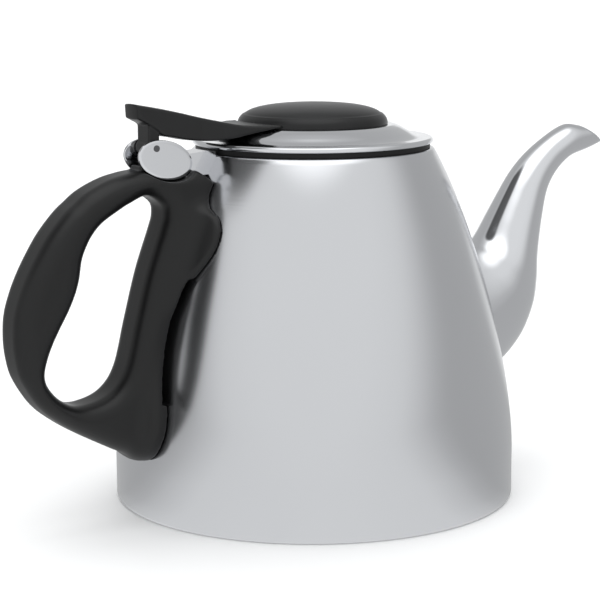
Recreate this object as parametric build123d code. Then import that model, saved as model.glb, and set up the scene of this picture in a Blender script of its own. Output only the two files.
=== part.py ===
from build123d import *
import os
from math import cos, hypot, pi, radians, sin, sqrt

# Stainless teapot with a drop-in infuser, a gooseneck spout, a moulded handle and a flip-up lid.
# Millimetres. +Z is up, the pot's axis is Z, the origin is the centre of the foot.
# The spout points along +X and the handle along -X, so the object is symmetric about Y = 0.

# --- pot ---------------------------------------------------------------------------------------
base_radius = 70.0           # outside radius of the foot
shoulder_radius = 42.2       # outside radius where the wall meets the rolled shoulder
shoulder_height = 121.2      # height of that circle
straight_height = 16.0       # the lowest part of the wall is a plain cylinder
belly_pull = 27.5            # how far above it the wall still runs upright
shoulder_pull = 30.2         # how far below the shoulder the wall keeps its lean
shoulder_lean = 28.8         # lean of the wall at the shoulder, degrees
pot_sheet = 0.8              # stainless sheet
foot_corner = 1.5            # bend between the wall and the foot
shoulder_roll = 0.9          # bend between the wall and the mouth ledge
core_thickness = 2.6         # heat-spreading disc under the floor
foot_flange = 7.0            # width of the wall's turned-in foot

# --- mouth and infuser -------------------------------------------------------------------------
mouth_radius = 36.8          # opening in the mouth ledge
neck_depth = 8.0             # seat ring, from under the ledge down to its seat
seat_width = 3.8             # inward flange that carries the infuser
slip = 0.4                   # radial clearance of what drops into the mouth
rest_gap = 0.1               # gap under a loose or hinged flat face at rest
infuser_sheet = 0.5
infuser_depth = 70.0
infuser_hole = 2.2
infuser_rows = 9
infuser_columns = 24

# --- lid, seal and knob ------------------------------------------------------------------------
lid_sheet = 0.7
rim_bead = 1.0               # radius of the lid's rolled rim
seal_height = 1.5
lid_rise = 5.4               # platform for the knob, above the bead's centre
knob_radius = 26.0
knob_height = 7.3
knob_wall = 2.0
skirt_depth = 5.6
skirt_taper = 1.0
plate_thickness = 1.6        # lever's plate between the lid and the knob
lid_screw_spread = 11.0      # lid screws, from the centre along Y
lid_screw_radius = 1.5

# --- lever -------------------------------------------------------------------------------------
fork_half_width = 15.0       # the arm's forked end, where it meets the knob
arm_half_width = 4.8         # the arm at its thumb end
tail_overhang = 7.0          # thumb end, outward from the pin

# --- hinge -------------------------------------------------------------------------------------
pin_reach = 22.8             # pin axis, outward from the shoulder circle
pin_rise = 4.2               # pin axis, above the shoulder circle
pin_radius = 1.1
pin_clearance = 0.06
cheek_gap = 8.8              # space between the two cheek plates
cheek_sheet = 1.0
cheek_long = 10.3            # half axes of the oval cheeks
cheek_short = 6.4
cheek_tilt = -14.0
arm_sheet = 1.2
arm_top = 1.9                # top of the bracket arm, below the pin axis
arm_drop = 9.8               # its underside, below the pin axis
column_clearance = 0.3
column_thickness = 4.4
tongue_length = 11.0         # bracket's tongue inside the handle

# --- handle ------------------------------------------------------------------------------------
handle_foot = 21.7           # height of the handle's lowest point
handle_top_drop = 7.3        # top face of the grip, below the pin axis
grip_half_width = 9.5
post_half_width = 10.0
handle_round = 4.5
pad_gap = 0.2                # between the handle's pads and the pot wall
slot_gap = 1.9               # daylight between the post and the pot wall
pad_thickness = 4.0
foot_tab_height = 33.0
tab_sheet = 2.0
tab_width = 12.0
tab_length = 11.0
boss_length = 9.0            # raised block on the handle between the cheeks
handle_screw_radius = 2.0

# --- spout -------------------------------------------------------------------------------------
spout_sheet = 0.8
tip_cut = 43.0               # slope of the cut across the spout's tip, degrees
strainer_hole = 3.0
strainer_pitch = 5.2

# --- worked out --------------------------------------------------------------------------------
ledge_top = shoulder_height + shoulder_roll * 0.7
pin_x = -(shoulder_radius + pin_reach)
pin_z = shoulder_height + pin_rise
handle_top = pin_z - handle_top_drop
seat_z = ledge_top - pot_sheet - neck_depth
seal_bottom = ledge_top + rest_gap
seal_top = seal_bottom + seal_height
bead_z = seal_top + rim_bead
rim_radius = shoulder_radius - 0.5
platform_z = bead_z + lid_rise
platform_radius = knob_radius + 2.0
skirt_radius = mouth_radius - pot_sheet - slip
infuser_radius = mouth_radius - seat_width - 1.8
infuser_top = seat_z + rest_gap
infuser_bottom = infuser_top - infuser_depth
knob_edge = -knob_radius
arm_span = knob_edge - pin_x
cheek_x = pin_x + 3.4
cheek_z = pin_z - 4.0
arm_start = pin_x + 6.5
top_screw_x = pin_x - 1.2
upper_head_z = pin_z - arm_drop - 3.2
foot_screw_x = -base_radius - 4.5
foot_head_z = foot_tab_height - tab_sheet / 2 - 3.0
wall_start = (base_radius, straight_height)
wall_end = (shoulder_radius, shoulder_height)
wall_pull_low = (base_radius, straight_height + belly_pull)
wall_pull_high = (
    shoulder_radius + shoulder_pull * sin(radians(shoulder_lean)),
    shoulder_height - shoulder_pull * cos(radians(shoulder_lean)),
)


def wall_radius(z):
    """Outside radius of the pot at height z, from the wall's curve."""
    if z <= straight_height:
        return base_radius
    low, high = 0.0, 1.0
    for _ in range(40):
        t = (low + high) / 2
        weights = ((1 - t) ** 3, 3 * (1 - t) ** 2 * t, 3 * (1 - t) * t**2, t**3)
        points = (wall_start, wall_pull_low, wall_pull_high, wall_end)
        r, h = (sum(w * p[i] for w, p in zip(weights, points)) for i in (0, 1))
        low, high = (t, high) if h < z else (low, t)
    return r


def ring(r_in, r_out, z_low, z_high):
    """Plain ring about the pot's axis."""
    body = Pos(0, 0, z_low) * Cylinder(r_out, z_high - z_low, align=(Align.CENTER, Align.CENTER, Align.MIN))
    if r_in > 0:
        height = z_high - z_low
        body -= Pos(0, 0, z_low) * Cylinder(r_in, height, align=(Align.CENTER, Align.CENTER, Align.MIN))
    return body


def spin(*edges):
    """Solid of revolution about Z from edges given as (radius, height)."""
    return revolve(Plane.XZ * make_face(Curve() + list(edges)), Axis.Z)


def pot_envelope(extra):
    """Everything inside the pot's outer surface, moved out by extra. Its seam faces sideways."""
    shift = [(r + extra, z) for r, z in (wall_start, wall_pull_low, wall_pull_high, wall_end)]
    return Rot(0, 0, 90) * spin(
        Bezier(*shift),
        Line(shift[3], (0, shoulder_height)),
        Line((0, shoulder_height), (0, 0)),
        Line((0, 0), (base_radius + extra, 0)),
        Line((base_radius + extra, 0), shift[0]),
    )


def prism_y(points, half_width, closed_spline=False):
    """Side profile in (x, z), extruded to both sides of the symmetry plane."""
    outline = Spline(*points, periodic=True) if closed_spline else Polyline(*points, close=True)
    face = make_face(Plane.XZ * outline)
    return extrude(face, amount=half_width, both=True)


# --- pot pieces --------------------------------------------------------------------------------
spout_plan = (
    # outward from the wall, height as a share of the shoulder's, half axis in the plane of symmetry,
    # half axis sideways, slope of the section's axis in degrees
    (-11.0, 0.458, 22.9, 22.0, 10.0),
    (2.0, 0.464, 23.1, 20.6, 16.0),
    (12.3, 0.503, 21.1, 18.6, 29.0),
    (20.0, 0.557, 18.1, 16.4, 42.0),
    (24.4, 0.607, 15.2, 14.3, 57.0),
    (28.2, 0.658, 12.6, 12.6, 67.0),
    (34.0, 0.726, 10.8, 10.8, 68.0),
    (40.0, 0.790, 9.3, 9.3, 65.0),
    (46.3, 0.848, 8.0, 8.0, 57.0),
    (53.4, 0.896, 7.0, 7.0, 46.0),
    (62.3, 0.939, 6.2, 6.2, 33.0),
    (71.5, 0.970, 6.0, 6.0, 23.0),
    (82.6, 0.988, 6.9, 5.2, 58.0),
)


def spout_stations():
    """Section centres (x, z), half axes and slopes, from inside the pot to the tip's slanting cut."""
    return [
        (wall_radius(share * shoulder_height) + out, share * shoulder_height, a, b, slope)
        for out, share, a, b, slope in spout_plan
    ]


def oval_face(centre, upward, sideways, count=12):
    """Smooth closed face through points of an ellipse, always started at the same side."""
    turns = [2 * pi * k / count for k in range(count)]
    return make_face(Spline(*[centre + sideways * cos(t) + upward * sin(t) for t in turns], periodic=True))


def spout_body(inset):
    sections = []
    for x, z, a, b, slope in spout_stations():
        upward = Vector(-sin(radians(slope)), 0, cos(radians(slope)))
        sections.append(oval_face(Vector(x, 0, z), upward * (a - inset), Vector(0, b - inset, 0)))
    return loft(sections, ruled=True)


def make_spout():
    tube = spout_body(0) - pot_envelope(0) - spout_body(spout_sheet)
    return max(tube.solids(), key=lambda s: s.volume)


def strainer_holes():
    """Round holes on a hexagonal grid inside the spout's root."""
    root = spout_stations()[1]
    reach_y, reach_z = root[3] - 7.0, root[2] - 8.0
    row_step = strainer_pitch * sqrt(3) / 2
    rows = int(reach_z // row_step)
    holes = []
    for row in range(-rows, rows + 1):
        z = root[1] + row * row_step
        shift = strainer_pitch / 2 if row % 2 else 0.0
        for column in range(-5, 6):
            y = column * strainer_pitch + shift
            if (y / reach_y) ** 2 + ((z - root[1]) / reach_z) ** 2 < 1:
                x = sqrt(wall_radius(z) ** 2 - y**2)
                holes.append(Pos(x, y, z) * Rot(0, 90, 0) * Cylinder(strainer_hole / 2, 12))
    return holes


def make_body_shell():
    t = pot_sheet
    inner = [(r - t, z) for r, z in (wall_start, wall_pull_low, wall_pull_high, wall_end)]
    roll_in = shoulder_radius - shoulder_roll - 0.5
    shell = spin(
        Line((base_radius - foot_flange, 0), (base_radius - foot_corner, 0)),
        RadiusArc((base_radius - foot_corner, 0), (base_radius, foot_corner), -foot_corner),
        Line((base_radius, foot_corner), wall_start),
        Bezier(wall_start, wall_pull_low, wall_pull_high, wall_end),
        Spline(wall_end, (roll_in, ledge_top), tangents=[(-sin(radians(shoulder_lean)), 0.9), (-1, 0)]),
        Line((roll_in, ledge_top), (mouth_radius, ledge_top)),
        Line((mouth_radius, ledge_top), (mouth_radius, ledge_top - t)),
        Line((mouth_radius, ledge_top - t), (inner[3][0] - 0.6, ledge_top - t)),
        Line((inner[3][0] - 0.6, ledge_top - t), inner[3]),
        Bezier(*reversed(inner)),
        Line(inner[0], (base_radius - t, foot_corner)),
        RadiusArc((base_radius - t, foot_corner), (base_radius - foot_corner, t), foot_corner - t),
        Line((base_radius - foot_corner, t), (base_radius - foot_flange, t)),
        Line((base_radius - foot_flange, t), (base_radius - foot_flange, 0)),
    )
    return shell - strainer_holes()


def make_body_floor():
    low = pot_sheet + core_thickness
    return ring(0, base_radius - pot_sheet, low, low + pot_sheet)


def make_base_core():
    return ring(0, base_radius - foot_corner - 1.0, pot_sheet, pot_sheet + core_thickness)


def make_base_cap():
    return ring(0, base_radius - foot_flange, 0, pot_sheet)


def make_mouth_ring():
    under_ledge = ledge_top - pot_sheet
    bore = mouth_radius - pot_sheet
    flange = ring(bore, mouth_radius + 3.2, under_ledge - pot_sheet, under_ledge)
    neck = ring(bore, mouth_radius, seat_z, under_ledge)
    seat = ring(mouth_radius - seat_width, mouth_radius, seat_z - pot_sheet, seat_z)
    return flange + neck + seat


# --- infuser -----------------------------------------------------------------------------------
def make_infuser_rim():
    collar_in = infuser_radius
    collar = ring(collar_in, collar_in + 0.8, infuser_top - 6.0, infuser_top)
    flange = ring(collar_in, mouth_radius - pot_sheet - slip, infuser_top, infuser_top + 0.8)
    return collar + flange


def make_infuser_wall():
    top = infuser_top - 1.0
    wall = ring(infuser_radius - infuser_sheet, infuser_radius, infuser_bottom + infuser_sheet, top)
    spacing = (infuser_depth - 16.0) / (infuser_rows - 1)
    bores = []
    for row in range(infuser_rows):
        z = infuser_bottom + 5.0 + row * spacing
        for column in range(infuser_columns):
            turn = 360 / infuser_columns * (column + 0.5 * (row % 2) + 0.25)
            bore = Rot(0, 90, 0) * Cylinder(infuser_hole / 2, 4)
            bores.append(Rot(0, 0, turn) * Pos(infuser_radius, 0, z) * bore)
    return wall - bores


def make_infuser_floor():
    floor = ring(0, infuser_radius, infuser_bottom, infuser_bottom + infuser_sheet)
    pitch = 7.0
    bores = []
    for row in range(-4, 5):
        for column in range(-5, 6):
            x = pitch * (column + 0.5 * (row % 2))
            y = pitch * sqrt(3) / 2 * row
            if hypot(x, y) < infuser_radius - 4:
                bores.append(Pos(x, y, infuser_bottom) * Cylinder(infuser_hole / 2, 4))
    return floor - bores


# --- lid ---------------------------------------------------------------------------------------
def lid_cone(drop):
    """Upper surface of the lid from the platform to the rim, lowered by drop."""
    start = (platform_radius, platform_z - drop)
    end = (rim_radius - rim_bead, bead_z + rim_bead - drop)
    hollow = (rim_radius - 5.0, bead_z + 1.1 - drop)
    return start, hollow, end


def make_lid_shell():
    start, hollow, end = lid_cone(0)
    start_in, hollow_in, end_in = lid_cone(lid_sheet)
    bead_base = (end[0], bead_z - rim_bead)
    slope_in, slope_out = (1, -0.2), (1, 0.12)
    shell = spin(
        Line((0, platform_z), start),
        Spline(start, hollow, end, tangents=[slope_in, slope_out]),
        RadiusArc(end, bead_base, rim_bead),
        Line(bead_base, (bead_base[0] - 1.2, bead_base[1])),
        Line((bead_base[0] - 1.2, bead_base[1]), (bead_base[0] - 1.2, end_in[1] - 0.1)),
        Spline((bead_base[0] - 1.2, end_in[1] - 0.1), hollow_in, start_in, tangents=[(-1, -0.1), (-1, 0.2)]),
        Line(start_in, (0, platform_z - lid_sheet)),
        Line((0, platform_z - lid_sheet), (0, platform_z)),
    )
    for side in (-1, 1):
        shell -= Pos(0, side * lid_screw_spread, platform_z) * Cylinder(lid_screw_radius + 0.1, 4)
    return shell


def make_lid_skirt():
    """Ring welded under the lid: it carries the seal and centres the lid in the mouth."""
    t = lid_sheet
    bottom = ledge_top - skirt_depth
    flange = rim_radius - rim_bead - 1.3
    corners = [
        (skirt_radius - skirt_taper, bottom),
        (skirt_radius, ledge_top),
        (skirt_radius, seal_top),
        (flange, seal_top),
        (flange, seal_top + t),
        (skirt_radius - t, seal_top + t),
        (skirt_radius - t, ledge_top),
        (skirt_radius - skirt_taper - t, bottom),
    ]
    return spin(Polyline(*corners, close=True))


def make_lid_seal():
    return ring(skirt_radius, rim_radius - rim_bead - 0.1, seal_bottom, seal_top)


def make_lid_screws():
    screws = []
    for side in (-1, 1):
        y = side * lid_screw_spread
        head_z = platform_z - lid_sheet - 0.6
        shank = Pos(0, y, head_z) * Cylinder(
            lid_screw_radius, 6.4, align=(Align.CENTER, Align.CENTER, Align.MIN)
        )
        head = Pos(0, y, head_z) * Cylinder(2.8, 1.8, align=(Align.CENTER, Align.CENTER, Align.MAX))
        slot = Pos(0, y, head_z - 1.8) * (Box(4.0, 0.8, 1.6) + Box(0.8, 4.0, 1.6))
        screws.append(shank + head - slot)
    return Compound(children=[s.solids()[0] for s in screws])


def make_lid_washers():
    washers = []
    for side in (-1, 1):
        z = platform_z - lid_sheet
        washers.append(Pos(0, side * lid_screw_spread, 0) * ring(lid_screw_radius + 0.1, 3.6, z - 0.6, z))
    return Compound(children=[w.solids()[0] for w in washers])


def make_lid_knob():
    edge_z = platform_z + knob_height * 0.5
    top_z = platform_z + knob_height
    edge_r = knob_radius - 1.7
    w = knob_wall
    cap = spin(
        Line((knob_radius - w, platform_z), (knob_radius, platform_z)),
        Spline((knob_radius, platform_z), (edge_r, edge_z), tangents=[(0, 1), (-0.6, 0.8)]),
        Bezier((edge_r, edge_z), (edge_r - 4.3, edge_z + 2.6), (edge_r / 2, top_z), (0, top_z)),
        Line((0, top_z), (0, top_z - w)),
        Bezier((0, top_z - w), (edge_r / 2, top_z - w), (edge_r - 5.5, edge_z + 0.4), (edge_r - w, edge_z - w)),
        Line((edge_r - w, edge_z - w), (knob_radius - w, platform_z)),
    )
    boss_low = platform_z + plate_thickness
    for side in (-1, 1):
        boss = Pos(0, side * lid_screw_spread, 0) * ring(0, 3.6, boss_low, top_z - w + 0.4)
        bore = Pos(0, side * lid_screw_spread, 0) * ring(0, lid_screw_radius, boss_low - 1, boss_low + 3.6)
        cap = cap + boss - bore
    notch = Pos(-knob_radius, 0, platform_z) * Box(
        14, 2 * fork_half_width * 0.72, 2 * plate_thickness + 0.2
    )
    return cap - notch


# --- lever -------------------------------------------------------------------------------------
def make_lid_lever():
    """Thumb arm with its hinge column and the plate under the knob, one moulding."""
    def along(share, rise):
        return (pin_x + share * arm_span, pin_z + rise)

    side = prism_y(
        [
            (pin_x - tail_overhang, pin_z + 14.9),
            along(0.08, 12.9),
            along(0.27, 11.2),
            along(0.46, 9.3),
            along(0.66, 7.5),
            along(0.81, 6.4),
            along(1.08, 6.2),
            along(1.08, 4.6),
            along(0.92, 3.6),
            along(0.80, 1.9),
            along(0.54, 1.1),
            along(0.27, 1.9),
            along(0.13, 3.0),
            along(0.03, 5.8),
            (pin_x - tail_overhang * 0.85, pin_z + 9.2),
        ],
        fork_half_width + 1,
    )
    plan = Polyline(
        (pin_x - tail_overhang, -arm_half_width),
        (pin_x + 0.45 * arm_span, -arm_half_width - 1.6),
        (pin_x + 0.72 * arm_span, -arm_half_width - 4.6),
        (pin_x + 0.92 * arm_span, -fork_half_width + 2.0),
        (knob_edge + 3.4, -fork_half_width),
        (knob_edge + 3.4, fork_half_width),
        (pin_x + 0.92 * arm_span, fork_half_width - 2.0),
        (pin_x + 0.72 * arm_span, arm_half_width + 4.6),
        (pin_x + 0.45 * arm_span, arm_half_width + 1.6),
        (pin_x - tail_overhang, arm_half_width),
        close=True,
    )
    outline = Pos(0, 0, pin_z - 2) * extrude(make_face(plan), amount=25)
    arm = side & outline
    arm -= ring(0, knob_radius + 0.15, platform_z, platform_z + 12)
    arm -= lid_clearance()
    neck = Pos(knob_edge + 1, 0, platform_z) * Box(
        8, 2 * fork_half_width * 0.7, plate_thickness, align=(Align.CENTER, Align.CENTER, Align.MIN)
    )
    plate = ring(0, knob_radius - knob_wall - 2.1, platform_z, platform_z + plate_thickness)
    for s in (-1, 1):
        plate -= Pos(0, s * lid_screw_spread, platform_z) * Cylinder(lid_screw_radius + 0.1, 6)
    half = cheek_gap / 2 - column_clearance
    column = Pos(pin_x, 0, pin_z) * Box(
        column_thickness, 2 * half, 7.5, align=(Align.CENTER, Align.CENTER, Align.MIN)
    )
    column += Pos(pin_x, 0, pin_z) * Rot(90, 0, 0) * Cylinder(column_thickness / 2 + 0.8, 2 * half)
    column -= Pos(pin_x, 0, pin_z) * Rot(90, 0, 0) * Cylinder(pin_radius + pin_clearance, 2 * half + 2)
    return (arm + neck + plate + column).solids()[0]


def lid_clearance():
    """What the lever must stay above: the lid's upper surface."""
    start, hollow, end = lid_cone(-0.05)
    return spin(
        Line((0, platform_z), (start[0], platform_z)),
        Line((start[0], platform_z), start),
        Spline(start, hollow, end, tangents=[(1, -0.2), (1, 0.12)]),
        Line(end, (end[0], bead_z - 3)),
        Line((end[0], bead_z - 3), (0, bead_z - 3)),
        Line((0, bead_z - 3), (0, platform_z)),
    )


# --- hinge bracket -----------------------------------------------------------------------------
def cheek_oval(extra, thickness):
    oval = Plane.XZ * Ellipse(cheek_long + extra, cheek_short + extra, rotation=cheek_tilt)
    return Pos(cheek_x, 0, cheek_z) * extrude(oval, amount=thickness / 2, both=True)


def make_cheek(side):
    offset = side * (cheek_gap + cheek_sheet) / 2
    plate = Pos(0, offset, 0) * cheek_oval(0, cheek_sheet)
    bore = Pos(pin_x, offset, pin_z) * Rot(90, 0, 0) * Cylinder(pin_radius, 3)
    return plate - bore


def make_hinge_pin():
    """Headless pin, peened flush in both cheeks."""
    return Pos(pin_x, 0, pin_z) * Rot(90, 0, 0) * Cylinder(pin_radius, cheek_gap + 2 * cheek_sheet + 0.3)


def arm_profile(extra):
    low, high = pin_z - arm_drop, pin_z - arm_top
    reach = -shoulder_radius + 4
    return [
        (arm_start - extra, low - extra),
        (reach, low - extra),
        (reach, high - 0.6),
        (-shoulder_radius - 3.2, high + extra),
        (arm_start - extra, high - 1.2 + extra),
    ]


def make_hinge_bracket():
    """Folded arm welded to the neck, with a tongue that runs into the handle."""
    arm = prism_y(arm_profile(0), cheek_gap / 2)
    inside = prism_y(
        [
            (arm_start - 1, pin_z - arm_drop + tab_sheet),
            (-shoulder_radius + 5, pin_z - arm_drop + tab_sheet),
            (-shoulder_radius + 5, pin_z - arm_top - arm_sheet - 1.2),
            (arm_start - 1, pin_z - arm_top - arm_sheet - 1.2),
        ],
        cheek_gap / 2 - arm_sheet,
    )
    tongue = Pos(arm_start + 2, 0, pin_z - arm_drop) * Box(
        tongue_length + 2, cheek_gap - 0.4, tab_sheet, align=(Align.MAX, Align.CENTER, Align.MIN)
    )
    bracket = arm - inside + tongue - pot_envelope(0)
    bracket -= ring(0, shoulder_radius, shoulder_height, shoulder_height + 5)
    bracket -= Pos(top_screw_x, 0, pin_z - arm_drop) * Cylinder(handle_screw_radius, 9)
    return max(bracket.solids(), key=lambda s: s.volume)


# --- handle ------------------------------------------------------------------------------------
def handle_point(stand_off, share):
    """Point in the plane of symmetry: distance out from the pot wall, and share of the handle's height."""
    z = handle_foot + share * (handle_top - handle_foot)
    return (-(wall_radius(z) + stand_off), z)


def grip_outline():
    return [
        handle_point(d, s)
        for d, s in (
            (26.0, 1.0),
            (33.0, 0.987),
            (41.7, 0.944),
            (49.8, 0.872),
            (54.5, 0.800),
            (56.7, 0.720),
            (57.2, 0.632),
            (56.7, 0.547),
            (55.5, 0.473),
            (52.6, 0.403),
            (47.8, 0.320),
            (41.0, 0.250),
            (31.5, 0.175),
            (20.0, 0.090),
            (10.0, 0.036),
            (-0.5, 0.0),
        )
    ]


def opening_outline():
    return [
        handle_point(d, s)
        for d, s in (
            (22.5, 0.908),
            (33.0, 0.862),
            (37.8, 0.800),
            (38.2, 0.720),
            (36.9, 0.630),
            (37.6, 0.550),
            (39.8, 0.470),
            (42.4, 0.400),
            (42.5, 0.345),
            (40.0, 0.285),
            (35.5, 0.243),
            (29.0, 0.222),
            (20.5, 0.237),
            (14.3, 0.282),
            (11.5, 0.340),
            (11.3, 0.430),
            (11.4, 0.560),
            (11.3, 0.680),
            (11.0, 0.790),
            (12.0, 0.865),
            (16.5, 0.903),
        )
    ]


def pad(points, thickness):
    """Pad lying on the pot wall: its outline is given as (half width, height)."""
    half = [(-y, z) for y, z in points]
    outline = Polyline(*points, *reversed(half), close=True)
    prism = Pos(-20, 0, 0) * extrude(make_face(Plane.YZ * outline), amount=80, dir=(-1, 0, 0))
    return prism & pot_envelope(thickness)


def handle_pads():
    """Wings at the top of the post and the foot at its lower end, both lying on the pot wall."""
    top = handle_top - 13.6
    wings = [
        (9.0, top),
        (17.0, top - 0.6),
        (20.0, top - 5.5),
        (19.6, top - 10.5),
        (18.7, top - 16.0),
        (14.3, top - 18.4),
        (9.0, top - 22.0),
    ]
    low = handle_foot
    foot = [(9.0, low + 21.0), (15.6, low + 13.5), (15.9, low + 9.0), (13.0, low + 5.0), (5.0, low + 1.0)]
    return [pad(wings, pad_thickness), pad(foot, pad_thickness + 1.0)]


def rounded_slab(block, half_width, radius):
    """Rounds the long curved edges on both sides of a slab that is centred on the symmetry plane."""
    side_edges = [e for e in block.edges() if abs(abs(e.center().Y) - half_width) < 0.01]
    return fillet([e for e in side_edges if e.geom_type != GeomType.LINE], radius)


def make_handle():
    inside_x = -shoulder_radius * 0.8
    outer = [(inside_x, handle_top + 0.6), *grip_outline(), (inside_x, handle_foot - 9.0)]
    profile = Curve() + [Spline(*outer), Line(outer[-1], outer[0])]
    block = extrude(make_face(Plane.XZ * profile), amount=post_half_width, both=True)
    block = rounded_slab(block, post_half_width, handle_round)
    wide = post_half_width + 0.5
    surround = Pos(pin_x, 0, pin_z / 2) * Box(3 * base_radius, 2 * wide, 2 * pin_z)
    surround -= prism_y(opening_outline(), 2 * wide, closed_spline=True)
    block &= rounded_slab(surround, wide, handle_round + 0.5)
    block += handle_pads()
    block += Pos(pin_x - 5.6, 0, handle_top - 1) * Box(
        boss_length, cheek_gap - 2 * column_clearance, 3.2, align=(Align.MIN, Align.CENTER, Align.MIN)
    )
    block -= [pot_envelope(pad_gap), slot_cutter(), neck_cutter(), *hinge_pockets(), *screw_cuts()]
    return max(block.solids(), key=lambda s: s.volume)


def neck_cutter():
    """Clears the handle's top away from the mouth, down a short slope."""
    low = handle_top - 3.0
    slope = [(-shoulder_radius - 5.0, low), (-shoulder_radius - 9.8, handle_top + 0.6)]
    above = [(-shoulder_radius - 9.8, handle_top + 5), (0, handle_top + 5), (0, low)]
    return prism_y(slope + above, 30)


def slot_cutter():
    """Daylight between the post and the pot wall, between the wings and the foot."""
    low, high = handle_foot + 19.5, handle_top - 35.6
    band = Pos(0, 0, low) * Box(300, 100, high - low, align=(Align.CENTER, Align.CENTER, Align.MIN))
    return pot_envelope(slot_gap) & band


def hinge_pockets():
    """Room in the handle for the cheeks and for the bracket and its tongue."""
    cheek_room = []
    for side in (-1, 1):
        pocket_depth = 12.0
        offset = side * (cheek_gap / 2 - 0.1 + pocket_depth / 2)
        cheek_room.append(Pos(0, offset, 0) * cheek_oval(0.5, pocket_depth))
    low = pin_z - arm_drop
    arm_room = prism_y(
        [
            (arm_start - 0.5, low - 0.2),
            (-shoulder_radius + 4, low - 0.2),
            (-shoulder_radius + 4, pin_z),
            (arm_start - 0.5, pin_z),
        ],
        cheek_gap / 2 + 0.2,
    )
    tongue_room = Pos(arm_start + 4, 0, low - 0.2) * Box(
        tongue_length + 4.5, cheek_gap, tab_sheet + 0.4, align=(Align.MAX, Align.CENTER, Align.MIN)
    )
    return cheek_room + [arm_room, tongue_room]


def screw_cuts():
    """Clearance holes and head recesses of the two handle screws, and the pocket of the lower tab."""
    upper = Pos(top_screw_x, 0, pin_z - arm_drop) * Cylinder(handle_screw_radius + 0.15, 30)
    recess = Pos(top_screw_x, 0, upper_head_z) * Cylinder(3.6, 12, align=(Align.CENTER, Align.CENTER, Align.MAX))
    lower = Pos(foot_screw_x, 0, foot_tab_height) * Cylinder(handle_screw_radius + 0.15, 9)
    foot_recess = Pos(foot_screw_x, 0, foot_head_z) * Cylinder(
        3.6, 20, align=(Align.CENTER, Align.CENTER, Align.MAX)
    )
    tab_room = Pos(-base_radius + 2, 0, foot_tab_height) * Box(
        tab_length + 2.2, tab_width + 0.4, tab_sheet + 0.4, align=(Align.MAX, Align.CENTER, Align.CENTER)
    )
    return [upper, recess, lower, foot_recess, tab_room]


def handle_screw(x, head_z, length):
    """Pan-head screw standing on its head, with a cross slot."""
    shank = Pos(x, 0, head_z) * Cylinder(
        handle_screw_radius - 0.02, length, align=(Align.CENTER, Align.CENTER, Align.MIN)
    )
    head = Pos(x, 0, head_z) * Cylinder(3.4, 2.2, align=(Align.CENTER, Align.CENTER, Align.MAX))
    slot = Pos(x, 0, head_z - 2.2) * (Box(4.4, 0.9, 2.0) + Box(0.9, 4.4, 2.0))
    return shank + head - slot


def make_handle_top_screw():
    return handle_screw(top_screw_x, upper_head_z, pin_z - arm_drop + tab_sheet - upper_head_z)


def make_handle_foot_screw():
    return handle_screw(foot_screw_x, foot_head_z, foot_tab_height + tab_sheet / 2 - foot_head_z)


def make_foot_bracket():
    """Tab welded to the pot, which the handle's foot slides over."""
    tab = Pos(-base_radius + 2, 0, foot_tab_height) * Box(
        tab_length + 2, tab_width, tab_sheet, align=(Align.MAX, Align.CENTER, Align.CENTER)
    )
    tab -= Pos(foot_screw_x, 0, foot_tab_height) * Cylinder(handle_screw_radius, 6)
    return (tab - pot_envelope(0)).solids()[0]


# --- output ------------------------------------------------------------------------------------
pieces = {
    "body_shell": make_body_shell,
    "body_floor": make_body_floor,
    "base_core": make_base_core,
    "base_cap": make_base_cap,
    "mouth_ring": make_mouth_ring,
    "spout": make_spout,
    "hinge_bracket": make_hinge_bracket,
    "hinge_cheek_left": lambda: make_cheek(1),
    "hinge_cheek_right": lambda: make_cheek(-1),
    "hinge_pin": make_hinge_pin,
    "handle": make_handle,
    "handle_top_screw": make_handle_top_screw,
    "handle_foot_screw": make_handle_foot_screw,
    "foot_bracket": make_foot_bracket,
    "lid_shell": make_lid_shell,
    "lid_skirt": make_lid_skirt,
    "lid_seal": make_lid_seal,
    "lid_lever": make_lid_lever,
    "lid_knob": make_lid_knob,
    "lid_screws": make_lid_screws,
    "lid_washers": make_lid_washers,
    "infuser_rim": make_infuser_rim,
    "infuser_wall": make_infuser_wall,
    "infuser_floor": make_infuser_floor,
}

os.makedirs("parts", exist_ok=True)
for name, make in pieces.items():
    export_step(make(), f"parts/{name}.step")
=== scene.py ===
from math import cos, pi, radians, sin

import bpy
import numpy as np
import openvdb
from mathutils import Matrix, Vector


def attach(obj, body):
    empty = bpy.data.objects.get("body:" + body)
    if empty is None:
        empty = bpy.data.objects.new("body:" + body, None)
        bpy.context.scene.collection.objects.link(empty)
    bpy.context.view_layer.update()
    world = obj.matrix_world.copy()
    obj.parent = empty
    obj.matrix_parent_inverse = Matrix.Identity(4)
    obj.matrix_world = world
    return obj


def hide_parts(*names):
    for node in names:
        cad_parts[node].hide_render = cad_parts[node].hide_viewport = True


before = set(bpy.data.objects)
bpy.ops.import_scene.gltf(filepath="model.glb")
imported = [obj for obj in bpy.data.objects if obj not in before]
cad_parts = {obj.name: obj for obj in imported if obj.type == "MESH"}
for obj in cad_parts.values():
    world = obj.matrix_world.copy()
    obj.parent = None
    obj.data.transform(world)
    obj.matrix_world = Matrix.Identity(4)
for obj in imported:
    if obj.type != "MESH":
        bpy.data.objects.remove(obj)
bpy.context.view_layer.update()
scene = bpy.context.scene
scene.view_settings.view_transform = "Standard"
MM = 0.001
FAR = 50                         # a distance that stands for "nothing here", in millimetres


# --- shared shapes -----------------------------------------------------------------------------
# The pot's wall in millimetres, the same curve as the CAD model's: (radius, height).
SHOULDER_R = 42.2
POT_SHEET = 0.8
GRIP_TOP = 118.1                 # height of the handle's top face
LID_PLATFORM = 129.83            # height of the flat that carries the knob
WALL = np.array([(70.0, 16.0), (70.0, 43.5), (56.75, 94.73), (42.2, 121.2)])


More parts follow.
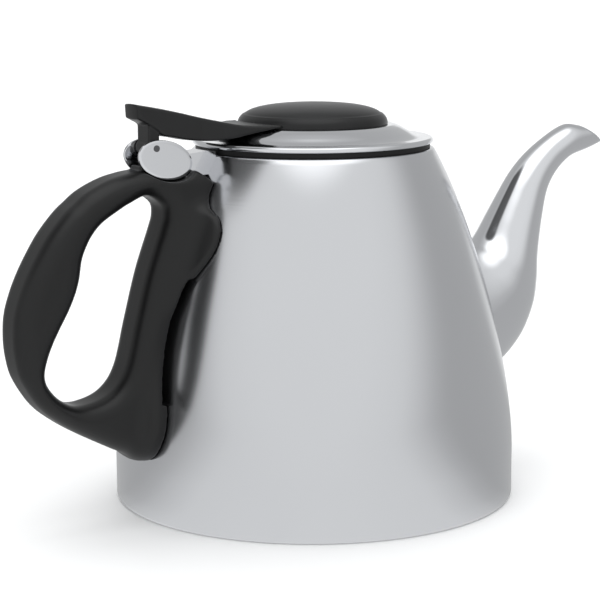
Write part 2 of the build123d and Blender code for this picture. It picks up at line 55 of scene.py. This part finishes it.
def bezier(points, t):
    t = np.asarray(t, float)[:, None]
    a, b, c, d = points
    return (1 - t) ** 3 * a + 3 * (1 - t) ** 2 * t * b + 3 * (1 - t) * t**2 * c + t**3 * d


WALL_LINE = np.vstack([[(70.0, 0.0)], bezier(WALL, np.linspace(0, 1, 200))])


def wall_radius(z):
    return np.interp(z, WALL_LINE[:, 1], WALL_LINE[:, 0], right=SHOULDER_R)


def smooth_line(points, count, closed=False):
    """Catmull-Rom curve through points, as an array of count points."""
    p = np.asarray(points, float)
    n = len(p)
    if closed:
        q = np.vstack([p[-1:], p, p[:2]])
        spans = n
    else:
        q = np.vstack([2 * p[:1] - p[1:2], p, 2 * p[-1:] - p[-2:-1]])
        spans = n - 1
    out = []
    for t in np.linspace(0, spans, count, endpoint=not closed):
        i = min(int(t), spans - 1)
        f = t - i
        a, b, c, d = q[i:i + 4]
        out.append(0.5 * (2 * b + (c - a) * f + (2 * a - 5 * b + 4 * c - d) * f**2
                          + (3 * b - a - 3 * c + d) * f**3))
    return np.array(out)


def polygon_distance(px, py, polygon):
    """Signed distance from points to a closed polygon, negative inside."""
    best = np.full(px.shape, np.inf)
    inside = np.zeros(px.shape, bool)
    nxt = np.roll(polygon, -1, axis=0)
    for (ax, ay), (bx, by) in zip(polygon, nxt):
        ex, ey = bx - ax, by - ay
        length = ex * ex + ey * ey
        if length == 0:
            continue
        t = np.clip(((px - ax) * ex + (py - ay) * ey) / length, 0, 1)
        best = np.minimum(best, (px - ax - t * ex) ** 2 + (py - ay - t * ey) ** 2)
        crosses = (ay > py) != (by > py)
        if ey != 0:
            inside ^= crosses & (px < ax + ex * (py - ay) / ey)
    return np.where(inside, -1, 1) * np.sqrt(best)


def rounded_and(a, b, r):
    """Common part of two solids given by distance, with its edge rounded to radius r."""
    u, v = a + r, b + r
    return np.hypot(np.maximum(u, 0), np.maximum(v, 0)) + np.minimum(np.maximum(u, v), 0) - r


def smooth_or(a, b, k):
    h = np.clip(0.5 + 0.5 * (b - a) / k, 0, 1)
    return b * (1 - h) + a * h - k * h * (1 - h)


def cut(a, b, r):
    return rounded_and(a, -b, r)


# --- mesh makers -------------------------------------------------------------------------------
def new_mesh(name, verts, faces, smooth=True):
    mesh = bpy.data.meshes.new(name)
    mesh.from_pydata([tuple(v) for v in verts], [], [tuple(int(i) for i in f) for f in faces])
    mesh.validate()
    mesh.update()
    if smooth:
        mesh.polygons.foreach_set("use_smooth", [True] * len(mesh.polygons))
    piece = bpy.data.objects.new(name, mesh)
    scene.collection.objects.link(piece)
    return piece


def volume_mesh(name, field, low, step):
    """Mesh of the zero surface of a distance field sampled on a grid, in millimetres."""
    grid = openvdb.FloatGrid(3.0)
    grid.copyFromArray(field.astype(np.float32))
    points, _, quads = grid.convertToPolygons(isovalue=0.0, adaptivity=0.0)
    points = (points * step + np.array(low)) * MM
    return new_mesh(name, points, quads)


def axes(low, high, step):
    return np.meshgrid(*[np.arange(a, b + step, step) for a, b in zip(low, high)], indexing="ij")


def lathe(name, profile, segments=224):
    """Closed (radius, height) profile in millimetres, turned about the pot's axis."""
    profile = np.asarray(profile, float)
    n = len(profile)
    turns = np.linspace(0, 2 * pi, segments, endpoint=False)
    verts = [(r * cos(t) * MM, r * sin(t) * MM, z * MM) for t in turns for r, z in profile]
    faces = []
    for s in range(segments):
        a, b = s * n, ((s + 1) % segments) * n
        for i in range(n):
            j = (i + 1) % n
            if max(profile[i][0], profile[j][0]) < 1e-6:
                continue
            if profile[i][0] < 1e-6:
                faces.append((a + i, b + j, a + j))
            elif profile[j][0] < 1e-6:
                faces.append((a + i, b + i, a + j))
            else:
                faces.append((a + i, b + i, b + j, a + j))
    piece = new_mesh(name, verts, faces)
    weld = piece.modifiers.new("weld", "WELD")
    weld.merge_threshold = 1e-6
    return bake(piece)


def bake(piece):
    """Applies the piece's modifiers."""
    graph = bpy.context.evaluated_depsgraph_get()
    graph.update()
    mesh = bpy.data.meshes.new_from_object(piece.evaluated_get(graph))
    piece.modifiers.clear()
    piece.data = mesh
    return piece


def sharpen(piece, angle):
    """Smooth shading with sharp edges over the angle, in degrees."""
    piece.data.shade_smooth()
    piece.data.set_sharp_from_angle(angle=radians(angle))
    return piece


def arc(centre, radius, start, end, count):
    t = np.radians(np.linspace(start, end, count))
    return [(centre[0] + radius * cos(a), centre[1] + radius * sin(a)) for a in t]


# --- materials ---------------------------------------------------------------------------------
class Nodes:
    def __init__(self, tree):
        self.tree = tree

    def add(self, kind, **values):
        node = self.tree.nodes.new(kind)
        for key, value in values.items():
            if hasattr(node, key):
                setattr(node, key, value)
            else:
                node.inputs[key.replace("_", " ")].default_value = value
        return node

    def link(self, out, into):
        self.tree.links.new(out, into)


def new_material(name, **sockets):
    mat = bpy.data.materials.new(name)
    mat.use_nodes = True
    nodes = Nodes(mat.node_tree)
    shader = mat.node_tree.nodes["Principled BSDF"]
    for key, value in sockets.items():
        shader.inputs[key.replace("_", " ")].default_value = value
    return mat, nodes, shader


def position(nodes, scale=(1, 1, 1)):
    """Object coordinates, stretched."""
    coord = nodes.add("ShaderNodeTexCoord")
    mapping = nodes.add("ShaderNodeMapping")
    mapping.inputs["Scale"].default_value = scale
    nodes.link(coord.outputs["Object"], mapping.inputs["Vector"])
    return mapping.outputs["Vector"]


def noise(nodes, vector, scale, detail=3.0):
    node = nodes.add("ShaderNodeTexNoise")
    node.inputs["Scale"].default_value = scale
    node.inputs["Detail"].default_value = detail
    nodes.link(vector, node.inputs["Vector"])
    return node.outputs["Fac"]


def ranged(nodes, value, low, high):
    node = nodes.add("ShaderNodeMapRange")
    node.inputs["From Min"].default_value = 0.3
    node.inputs["From Max"].default_value = 0.7
    node.inputs["To Min"].default_value = low
    node.inputs["To Max"].default_value = high
    nodes.link(value, node.inputs["Value"])
    return node.outputs["Result"]


def bump(nodes, shader, height, strength, distance):
    node = nodes.add("ShaderNodeBump")
    node.inputs["Strength"].default_value = strength
    node.inputs["Distance"].default_value = distance
    nodes.link(height, node.inputs["Height"])
    nodes.link(node.outputs["Normal"], shader.inputs["Normal"])


def tint(nodes, shader, value, dark, light):
    ramp = nodes.add("ShaderNodeMix", data_type="RGBA")
    ramp.inputs[6].default_value = (*dark, 1)
    ramp.inputs[7].default_value = (*light, 1)
    nodes.link(value, ramp.inputs[0])
    nodes.link(ramp.outputs[2], shader.inputs["Base Color"])


def steel(name, rough, tone=0.62, spun=False, anisotropy=0.0):
    """Bare steel with faint blotches; spun steel has fine lines round the pot's axis."""
    mat, nodes, shader = new_material(name, Metallic=1.0, Roughness=rough)
    base = (tone, tone * 1.01, tone * 1.04)
    blotch = noise(nodes, position(nodes), 22.0)
    tint(nodes, shader, ranged(nodes, blotch, 0, 1), [c * 0.985 for c in base], base)
    nodes.link(ranged(nodes, blotch, rough * 0.92, rough * 1.08), shader.inputs["Roughness"])
    if spun:
        lines = noise(nodes, position(nodes, (6, 6, 2600)), 1.0, 4.0)
        bump(nodes, shader, lines, 0.05, 0.0001)
    else:
        ripple = noise(nodes, position(nodes), 60.0, 2.0)
        bump(nodes, shader, ripple, 0.03, 0.0004)
    if anisotropy:
        shader.inputs["Anisotropic"].default_value = anisotropy
        tangent = nodes.add("ShaderNodeTangent", direction_type="RADIAL", axis="Z")
        nodes.link(tangent.outputs["Tangent"], shader.inputs["Tangent"])
    return mat


def plastic(name, rough, tone):
    """Dark moulded plastic or rubber with a fine grain."""
    mat, nodes, shader = new_material(name, Roughness=rough)
    shader.inputs["Specular IOR Level"].default_value = 0.3
    grain = noise(nodes, position(nodes), 900.0, 4.0)
    cloud = noise(nodes, position(nodes), 35.0)
    light = [tone * 1.1, tone * 1.12, tone * 1.18]
    tint(nodes, shader, ranged(nodes, cloud, 0, 1), [tone * 0.85] * 3, light)
    nodes.link(ranged(nodes, cloud, rough * 0.88, rough * 1.1), shader.inputs["Roughness"])
    bump(nodes, shader, grain, 0.12, 0.00012)
    return mat


body_steel = steel("steel_body", 0.16, tone=0.6, spun=True, anisotropy=0.7)
mirror_steel = steel("steel_polished", 0.09, tone=0.66)
inner_steel = steel("steel_inside", 0.3, tone=0.58)
# painted shade: the pin's steel is made near black (tone 0.12) to stand in for the dark gap round the pin's
# end on the cheek
pin_steel_painted_dark = steel("steel_pin_painted_shade", 0.35, tone=0.12)
aluminium = steel("aluminium_core", 0.4, tone=0.7)
handle_plastic = plastic("plastic_handle", 0.36, 0.007)
lever_plastic = plastic("plastic_lever", 0.36, 0.009)
# black silicone seal; its black also stands in for the shade in the narrow gap between the lid's rim and the
# pot's shoulder (painted shade)
seal_black_and_gap_shade = plastic("silicone_seal_and_gap_shade", 0.55, 0.004)

FINISH = {
    "base_core": aluminium,
    "handle": handle_plastic,
    "lid_lever": lever_plastic,
    "lid_knob": lever_plastic,
    "lid_seal": seal_black_and_gap_shade,
    "body_shell": body_steel,
    "spout": mirror_steel,
    "lid_shell": mirror_steel,
    "hinge_bracket": mirror_steel,
    "hinge_cheek_left": mirror_steel,
    "hinge_cheek_right": mirror_steel,
    "hinge_pin": pin_steel_painted_dark,
}
for node_name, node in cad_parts.items():
    node.data.materials.clear()
    node.data.materials.append(FINISH.get(node_name, inner_steel))


def settle(piece, body, node, mat):
    """Gives a detailed piece its material and its place in the model."""
    piece.data.materials.clear()
    piece.data.materials.append(mat)
    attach(piece, body)
    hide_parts(*([node] if isinstance(node, str) else node))
    return piece


# --- handle ------------------------------------------------------------------------------------
# Outlines seen from the side, as (x, height).
GRIP_OUTER = [
    (-40, 119.5), (-58, 118.8), (-70, 118.3), (-77.7, 117.2), (-83.4, 115.6), (-90, 112.6), (-94.6, 109.3),
    (-98.4, 106.2), (-103.8, 100.3), (-107.8, 94.5), (-111.6, 88), (-114.6, 81.5), (-116.8, 74.5),
    (-117.4, 67.3), (-116.9, 60.7), (-115.2, 54), (-111.2, 47), (-107.6, 42.6), (-103, 38.8), (-96.8, 34.6),
    (-88.8, 30), (-79, 25), (-69.5, 21.9), (-50, 16),
]
GRIP_INNER = [
    (-68.5, 110), (-75, 107.9), (-80, 105.4), (-85.4, 102.2), (-88.7, 99), (-91, 95.5), (-92.9, 91),
    (-94, 85), (-95.6, 80), (-98.3, 74.5), (-101.6, 69), (-104.8, 63), (-106.9, 57), (-107, 53.2),
    (-105.2, 49.6),
    (-101.5, 45.8), (-96.2, 43.2), (-90, 43.4), (-84, 45.4), (-79.8, 49), (-77.2, 53.6), (-75.4, 59.4),
    (-73.8, 65.9), (-72, 72.5), (-70.2, 79), (-68.2, 85.5), (-65.8, 91.9), (-63.3, 98.3), (-62, 102.6),
    (-62.8, 106.6),
]
CHEEK_CENTRE, CHEEK_LONG, CHEEK_SHORT, CHEEK_TILT = (-61.6, 121.4), 10.3, 6.4, radians(-14)
PIN = (-65.0, 125.4)
GRIP_HALF, GRIP_ROUND = 9.4, 6.4
WALL_LEAN = 0.93                 # turns a radial gap into a gap square to the leaning wall
SLOT_GAP = 1.9                   # daylight between the post and the wall
SLOT_MIDDLE, SLOT_HALF = 61.9, 20.8


def cheek_distance(x, z, extra=0.0):
    dx, dz = x - CHEEK_CENTRE[0], z - CHEEK_CENTRE[1]
    u = dx * cos(CHEEK_TILT) + dz * sin(CHEEK_TILT)
    v = -dx * sin(CHEEK_TILT) + dz * cos(CHEEK_TILT)
    scale = np.hypot(u / (CHEEK_LONG + extra), v / (CHEEK_SHORT + extra))
    return (scale - 1) * (CHEEK_SHORT + extra)


def make_handle():
    step = 0.6
    low, high = (-119.4, -21.6, 19.8), (-43.2, 21.6, 120.6)
    x, y, z = axes(low, high, step)
    px, pz = x[:, 0, :], z[:, 0, :]
    outer = smooth_line(GRIP_OUTER, 260)
    outer = np.vstack([outer, [(-30, 16), (-30, 119.5)]])
    inner = smooth_line(GRIP_INNER, 260, closed=True)
    side = np.maximum(polygon_distance(px, pz, outer), -polygon_distance(px, pz, inner))[:, None, :]
    outside = (np.hypot(x, y) - wall_radius(z)) * WALL_LEAN
    body = rounded_and(side, np.abs(y) - GRIP_HALF, GRIP_ROUND)
    # saddle wings beside the top of the post, and the foot, both lying on the wall
    top = GRIP_TOP - 13.6
    wing = smooth_line([
        (0, top + 0.5), (10, top + 0.4), (16.5, top - 1.8), (19.6, top - 7.0), (19.2, top - 13.0),
        (16.0, top - 19.0), (11.5, top - 25.0), (8.6, top - 31.0), (0, top - 34.0),
    ], 60)
    foot = smooth_line([
        (0, 60), (6.5, 57.5), (9.5, 50.5), (12.2, 43.0), (13.6, 36.0), (12.8, 30.0), (9.6, 25.4),
        (5.0, 22.8), (0, 21.9),
    ], 60)
    across, up = np.abs(y[0]), z[0]
    wing_edge = polygon_distance(across, up, np.vstack([wing, [(-20, top - 34.0), (-20, top + 0.5)]]))[None]
    foot_edge = polygon_distance(across, up, np.vstack([foot, [(-20, 21.9), (-20, 60)]]))[None]
    wings = rounded_and(wing_edge, outside - (4.6 - 0.15 * np.abs(y)), 1.3)
    pads = rounded_and(foot_edge, outside - 4.8, 1.8)
    behind = np.where(x < 0, 0, FAR)
    body = smooth_or(body, wings + behind, 6.5)
    body = smooth_or(body, pads + behind, 5.0)
    # raised block between the hinge cheeks
    block = np.maximum.reduce([np.abs(x + 66.1) - 4.3, np.abs(y) - 4.0, z - 120.2, 112.0 - z])
    body = smooth_or(body, block + 0.4, 0.8)
    # clear of the pot, the slot behind the post, the cheeks and the bracket
    body = cut(body, outside - 0.25, 0.5)
    slot = rounded_and(outside - SLOT_GAP, np.abs(z - SLOT_MIDDLE) - SLOT_HALF, 0.6)
    body = cut(body, slot, 0.5)
    cheeks = np.maximum(cheek_distance(x, z, 0.5), 4.25 - np.abs(y))
    body = cut(body, cheeks, 0.3)
    arm = np.maximum.reduce([-58.9 - x, np.abs(y) - 4.6, 115.35 - z])
    body = cut(body, arm, 0.3)
    mouth_side = (x + 51.6) * 0.6 + (z - GRIP_TOP) * 0.8
    body = cut(body, np.where(z > 112, -mouth_side, FAR), 0.8)
    return volume_mesh("handle_moulding", body, low, step)


settle(make_handle(), "pot", "handle", handle_plastic)


# --- lever -------------------------------------------------------------------------------------
def lid_top(r):
    """Height of the lid's upper surface at radius r."""
    radii = [0, 28, 30.0, 32.5, 35.0, 36.7, 40.7]
    heights = [LID_PLATFORM, LID_PLATFORM, 129.2, 127.8, 126.2, 125.53, 125.43]
    return np.interp(r, radii, heights)


def make_lever():
    step = 0.4
    low, high = (-73.2, -17.2, 121.8), (-20.0, 17.2, 141.2)
    x, y, z = axes(low, high, step)
    px, pz = x[:, 0, :], z[:, 0, :]
    top = [(-71.7, 140.1), (-62, 138.2), (-54.5, 136.5), (-46.9, 134.6), (-39.2, 132.9), (-33.3, 131.9),
           (-26, 131.7), (-20, 131.7)]
    under = [(-20, 130.3), (-25, 129.9), (-28, 129.2), (-32, 128.1), (-37, 126.9), (-43.8, 126.5),
             (-49.5, 126.9), (-54.5, 127.6), (-58.0, 128.4), (-60.8, 128.9), (-62.6, 129.6), (-64.4, 131.2),
             (-67.5, 133.1),
             (-71.4, 135.1)]
    profile = np.vstack([smooth_line(top, 80), smooth_line(under, 80)])
    side = polygon_distance(px, pz, profile)[:, None, :]
    half = np.interp(x, [-72, -58, -48, -40, -34, -30, -27, -22], [4.7, 5.3, 6.0, 7.4, 9.4, 11.6, 14.0, 15.0])
    crown = 0.35 * (np.clip(np.abs(y) / half, 0, 1) ** 2)
    lever = rounded_and(side + crown, (np.abs(y) - half) * 0.9, 0.8)
    # the column that stands in the bracket
    column = np.maximum.reduce([np.abs(x - PIN[0]) - 2.1, np.abs(y) - 4.05, z - 134.0, 124.0 - z])
    eye = np.maximum(np.hypot(x - PIN[0], z - PIN[1]) - 2.95, np.abs(y) - 4.05)
    column = np.minimum(column, eye)
    lever = smooth_or(lever, column + 0.1, 0.6)
    lever = np.maximum(lever, 1.2 - np.hypot(x - PIN[0], z - PIN[1]))
    radius = np.hypot(x, y)
    lever = cut(lever, np.maximum(radius - 26.35, z - 150), 0.4)
    lever = np.maximum(lever, lid_top(radius) + 0.15 - z + np.where(radius > 42.0, -FAR, 0))
    return volume_mesh("lever_moulding", lever, low, step)


def make_lever_plate():
    """Thin plate that carries the arm under the knob."""
    profile = [(0, 129.95), (21.7, 129.95), (21.7, 131.3), (0, 131.3)]
    return sharpen(lathe("lever_plate", profile, 96), 30)


settle(make_lever(), "lid", "lid_lever", lever_plastic)
settle(make_lever_plate(), "lid", "lid_lever", lever_plastic)


# --- knob --------------------------------------------------------------------------------------
def make_knob():
    base = LID_PLATFORM
    top = base + 7.27
    flank = np.array([(26.0, base + 0.25), (26.0, base + 1.8), (25.3, base + 2.7), (24.45, base + 3.45)])
    side = bezier(flank, np.linspace(0, 1, 10))
    lip = arc((23.9, base + 3.1), 0.62, 20, 75, 5)
    dome = bezier(np.array([(23.6, base + 3.85), (20.6, base + 6.4), (12.0, top), (0, top)]),
                  np.linspace(0, 1, 26))
    inner = bezier(np.array([(0, top - 2.0), (12.0, top - 2.0), (18.8, base + 4.1), (22.4, base + 1.6)]),
                   np.linspace(0, 1, 14))
    profile = np.vstack([[(25.85, base + 0.02)], side, lip, dome, inner, [(24.0, base + 0.02)]])
    return sharpen(lathe("knob_cap", profile), 35)


settle(make_knob(), "lid", "lid_knob", lever_plastic)


# --- lid ---------------------------------------------------------------------------------------
def make_lid():
    top = [(28.2, 129.8), (30.2, 129.05), (32.6, 127.75), (34.8, 126.4), (36.7, 125.62), (38.6, 125.42)]
    cone = smooth_line(top, 30)
    bead = arc((40.7, 124.43), 1.0, 100, -90, 16)
    under = [(39.5, 123.43), (39.5, 124.6), (37.0, 124.85), (34.6, 125.7), (32.2, 127.1), (29.8, 128.4),
             (28.0, 129.1)]
    platform = [(0, LID_PLATFORM), (14, LID_PLATFORM), (26.5, LID_PLATFORM)]
    profile = np.vstack([platform, cone, bead, under, [(0, 129.13)]])
    return sharpen(lathe("lid_dome", profile), 40)


settle(make_lid(), "lid", "lid_shell", mirror_steel)


# --- body --------------------------------------------------------------------------------------
def make_body():
    outer = bezier(WALL, np.linspace(0, 1, 60))
    inner = bezier(WALL - [POT_SHEET, 0], np.linspace(1, 0, 60))
    roll = arc((40.9, 120.93), 0.9, 60, 90, 5)
    profile = np.vstack([
        [(63.0, 0.0)], arc((68.5, 1.5), 1.5, -90, 0, 8), [(70.0, 6.0), (70.0, 11.0)], outer,
        [(41.75, 121.6)], roll, [(40.0, 121.83), (36.8, 121.83), (36.8, 121.03), (40.6, 121.03)], inner,
        [(69.2, 11.0), (69.2, 6.0)], arc((68.5, 1.5), 0.7, 0, -90, 6), [(63.0, 0.8)],
    ])
    return sharpen(lathe("body_wall", profile, 288), 50)


settle(make_body(), "pot", "body_shell", body_steel)


# --- spout -------------------------------------------------------------------------------------
# Sections: (distance out from the wall, height, half height, half width, slope in degrees).
SPOUT = [
    (-11.0, 55.5, 22.9, 22.0, 10.0), (2.0, 56.2, 23.1, 20.6, 16.0), (12.3, 61.0, 21.1, 18.6, 29.0),
    (20.0, 67.5, 18.1, 16.4, 42.0), (24.4, 73.6, 15.2, 14.3, 57.0), (28.2, 79.7, 12.6, 12.6, 67.0),
    (34.0, 88.0, 10.8, 10.8, 68.0), (40.0, 95.7, 9.3, 9.3, 65.0), (46.3, 102.8, 8.0, 8.0, 57.0),
    (53.4, 108.6, 7.0, 7.0, 46.0), (62.3, 113.8, 6.2, 6.2, 33.0), (71.5, 117.6, 6.0, 6.0, 23.0),
    (82.6, 119.7, 6.9, 5.2, 58.0),
]


def make_spout():
    """Smooth tube through the spout's sections, ended on the pot wall and rolled at the tip."""
    plan = np.array([(wall_radius(z) + out, z, a, b, slope) for out, z, a, b, slope in SPOUT])
    smooth = smooth_line(plan, 110)
    rings = 72
    turns = np.linspace(0, 2 * pi, rings, endpoint=False)

    def skin(inset):
        lines = []
        for t in turns:
            slope = np.radians(smooth[:, 4])
            a, b = smooth[:, 2] - inset, smooth[:, 3] - inset
            x = smooth[:, 0] - np.sin(slope) * a * cos(t)
            z = smooth[:, 1] + np.cos(slope) * a * cos(t)
            y = b * sin(t)
            line = np.stack([x, y, z], 1)
            gap = np.hypot(line[:, 0], line[:, 1]) - wall_radius(line[:, 2]) - 0.02
            first = int(np.argmax(gap > 0))
            f = gap[first - 1] / (gap[first - 1] - gap[first])
            start = line[first - 1] + f * (line[first] - line[first - 1])
            line = np.vstack([start, line[first:]])
            along = np.concatenate([[0], np.cumsum(np.linalg.norm(np.diff(line, axis=0), axis=1))])
            want = np.linspace(0, along[-1], 90)
            lines.append(np.stack([np.interp(want, along, line[:, k]) for k in range(3)], 1))
        return np.array(lines)

    outer, inner = skin(0.0), skin(POT_SHEET)
    lip = (outer[:, -1] + inner[:, -1]) / 2 + np.array([0.25, 0, 0.12])
    strip = np.concatenate([outer, lip[:, None], inner[:, ::-1]], axis=1)
    n = strip.shape[1]
    faces = []
    for s in range(rings):
        for i in range(n):
            j = (i + 1) % n
            a, b = s * n, ((s + 1) % rings) * n
            faces.append((a + i, a + j, b + j, b + i))
    piece = new_mesh("spout_tube", strip.reshape(-1, 3) * MM, faces)
    return sharpen(piece, 60)


settle(make_spout(), "pot", "spout", mirror_steel)


# --- hinge cheeks and pin ----------------------------------------------------------------------
def oval_plate(name, side):
    """Oval plate with softened edges, standing beside the bracket."""
    count = 96
    verts, faces = [], []
    # (inset of the edge, depth from the plate's inner face)
    shells = [(0.35, 0.0), (0.12, 0.10), (0.02, 0.28), (0.0, 0.5), (0.02, 0.72), (0.12, 0.90), (0.4, 1.0),
              (1.2, 1.0)]
    for inset, depth in shells:
        for k in range(count):
            t = 2 * pi * k / count
            u, v = (CHEEK_LONG - inset) * cos(t), (CHEEK_SHORT - inset) * sin(t)
            x = CHEEK_CENTRE[0] + u * cos(CHEEK_TILT) - v * sin(CHEEK_TILT)
            z = CHEEK_CENTRE[1] + u * sin(CHEEK_TILT) + v * cos(CHEEK_TILT)
            verts.append((x * MM, side * (4.4 + depth) * MM, z * MM))
    for s in range(len(shells) - 1):
        for k in range(count):
            a, b = s * count + k, s * count + (k + 1) % count
            quad = (a, b, b + count, a + count)
            faces.append(quad if side < 0 else quad[::-1])
    low = tuple(range(count))
    high = tuple(range((len(shells) - 1) * count, len(shells) * count))
    faces.append(low[::-1] if side < 0 else low)
    faces.append(high if side < 0 else high[::-1])
    return sharpen(new_mesh(name, verts, faces), 30)


for side, word in ((1, "left"), (-1, "right")):
    settle(oval_plate("cheek_plate_" + word, side), "pot", "hinge_cheek_" + word, mirror_steel)


# --- studio ------------------------------------------------------------------------------------
VIEW_TURN = radians(34)          # camera's direction, turned from the pot's side towards the handle
FRONT_RISE = 0.8                 # how far the bright front of the tent leans upwards
TENT = [(0.0, 1.0), (0.06, 1.0), (0.12, 0.58), (0.56, 0.56), (0.66, 0.66), (0.72, 0.78), (0.84, 0.97),
        (1.0, 1.02)]             # (place from back to front, brightness)


def tent_colour(nodes, direction):
    """Bright towards the front, grey at both flanks, white behind and above."""
    front = nodes.add("ShaderNodeVectorMath", operation="DOT_PRODUCT")
    front.inputs[1].default_value = (-sin(VIEW_TURN), -cos(VIEW_TURN), FRONT_RISE)
    nodes.link(direction, front.inputs[0])
    remap = nodes.add("ShaderNodeMapRange")
    remap.inputs["From Min"].default_value = -1.0
    remap.inputs["From Max"].default_value = 1.0
    nodes.link(front.outputs["Value"], remap.inputs["Value"])
    ramp = nodes.add("ShaderNodeValToRGB")
    while len(ramp.color_ramp.elements) < len(TENT):
        ramp.color_ramp.elements.new(0.5)
    for element, (place, value) in zip(ramp.color_ramp.elements, TENT):
        element.position = place
        element.color = (value * 0.985, value * 0.995, value * 1.0, 1)
    nodes.link(remap.outputs["Result"], ramp.inputs["Fac"])
    return ramp.outputs["Color"]


def make_world():
    """Light tent with a dark flag above the handle and a bright panel overhead."""
    world = bpy.data.worlds.new("tent")
    scene.world = world
    world.use_nodes = True
    nodes = Nodes(world.node_tree)
    back = world.node_tree.nodes["Background"]
    coord = nodes.add("ShaderNodeTexCoord")

    def patch(direction, inner, outer, factor, colour):
        """Multiplies the tent's light inside a cone, with a soft edge."""
        aim = nodes.add("ShaderNodeVectorMath", operation="DOT_PRODUCT")
        aim.inputs[1].default_value = Vector(direction).normalized()
        nodes.link(coord.outputs["Generated"], aim.inputs[0])
        edge = nodes.add("ShaderNodeMapRange", interpolation_type="SMOOTHSTEP")
        edge.inputs["From Min"].default_value = outer
        edge.inputs["From Max"].default_value = inner
        edge.inputs["To Min"].default_value = 1.0
        edge.inputs["To Max"].default_value = factor
        nodes.link(aim.outputs["Value"], edge.inputs["Value"])
        scale = nodes.add("ShaderNodeVectorMath", operation="SCALE")
        nodes.link(colour, scale.inputs[0])
        nodes.link(edge.outputs["Result"], scale.inputs["Scale"])
        return scale.outputs["Vector"]

    ahead = Vector((sin(VIEW_TURN), cos(VIEW_TURN), 0))
    right = Vector((cos(VIEW_TURN), -sin(VIEW_TURN), 0))
    up = Vector((0, 0, 1))
    colour = tent_colour(nodes, coord.outputs["Generated"])
    colour = patch(-right * 0.9 + up * 0.95 - ahead * 0.15, 0.98, 0.93, 0.15, colour)
    colour = patch(up * 1.0 - ahead * 0.25, 0.95, 0.80, 1.9, colour)
    nodes.link(colour, back.inputs["Color"])
    back.inputs["Strength"].default_value = 1.0


def make_floor():
    """White ground; to glossy rays it glows with the tent's own colours instead, a painted reflection in the
    metal, so the wall has no bright belt.
    """
    size, below = 20.0, 0.0002
    verts = [(-size, -size, 0), (size, -size, 0), (size, size, 0), (-size, size, 0)]
    floor = new_mesh("studio_floor", verts, [(0, 1, 2, 3)], smooth=False)
    floor.location.z = -below
    mat, nodes, shader = new_material("floor_white_and_painted_reflection", Roughness=0.9)
    shader.inputs["Specular IOR Level"].default_value = 0.0
    cloud = ranged(nodes, noise(nodes, position(nodes), 3.0), 0, 1)
    tint(nodes, shader, cloud, (0.9, 0.9, 0.9), (0.91, 0.91, 0.91))
    # painted reflection: seen in the metal, the floor is an emitter of the tent's colours, not its own white
    reflection_glow = nodes.add("ShaderNodeEmission")
    coord = nodes.add("ShaderNodeTexCoord")
    heading = nodes.add("ShaderNodeVectorMath", operation="NORMALIZE")
    nodes.link(coord.outputs["Object"], heading.inputs[0])
    nodes.link(tent_colour(nodes, heading.outputs["Vector"]), reflection_glow.inputs["Color"])
    path = nodes.add("ShaderNodeLightPath")
    choice = nodes.add("ShaderNodeMixShader")
    nodes.link(path.outputs["Is Glossy Ray"], choice.inputs[0])
    nodes.link(shader.outputs["BSDF"], choice.inputs[1])
    nodes.link(reflection_glow.outputs["Emission"], choice.inputs[2])
    nodes.link(choice.outputs["Shader"], mat.node_tree.nodes["Material Output"].inputs["Surface"])
    floor.data.materials.append(mat)


def make_lights():
    sun_data = bpy.data.lights.new("overhead", "SUN")
    sun_data.energy = 1.3
    sun_data.angle = radians(70)
    sun = bpy.data.objects.new("overhead", sun_data)
    sun.rotation_euler = Vector((0.25, 0.5, 1.0)).to_track_quat("Z", "Y").to_euler()
    sun.visible_glossy = False
    scene.collection.objects.link(sun)


def make_camera():
    distance, height, pitch, pan, roll = 0.68794, 0.18910, radians(9.99), radians(0.389), radians(-0.288)
    heading = VIEW_TURN - pan
    ahead = Vector((sin(heading) * cos(pitch), cos(heading) * cos(pitch), -sin(pitch)))
    right = Vector((cos(heading), -sin(heading), 0))
    up = right.cross(ahead)
    right, up = right * cos(roll) + up * sin(roll), up * cos(roll) - right * sin(roll)
    data = bpy.data.cameras.new("camera")
    data.sensor_width = 36
    data.lens = 119.32
    data.clip_end = 100
    camera = bpy.data.objects.new("camera", data)
    rotation = Matrix((right, up, -ahead)).transposed()
    place = Vector((-sin(VIEW_TURN) * distance, -cos(VIEW_TURN) * distance, height))
    camera.matrix_world = Matrix.Translation(place) @ rotation.to_4x4()
    scene.collection.objects.link(camera)
    scene.camera = camera


make_world()
make_floor()
make_lights()
make_camera()
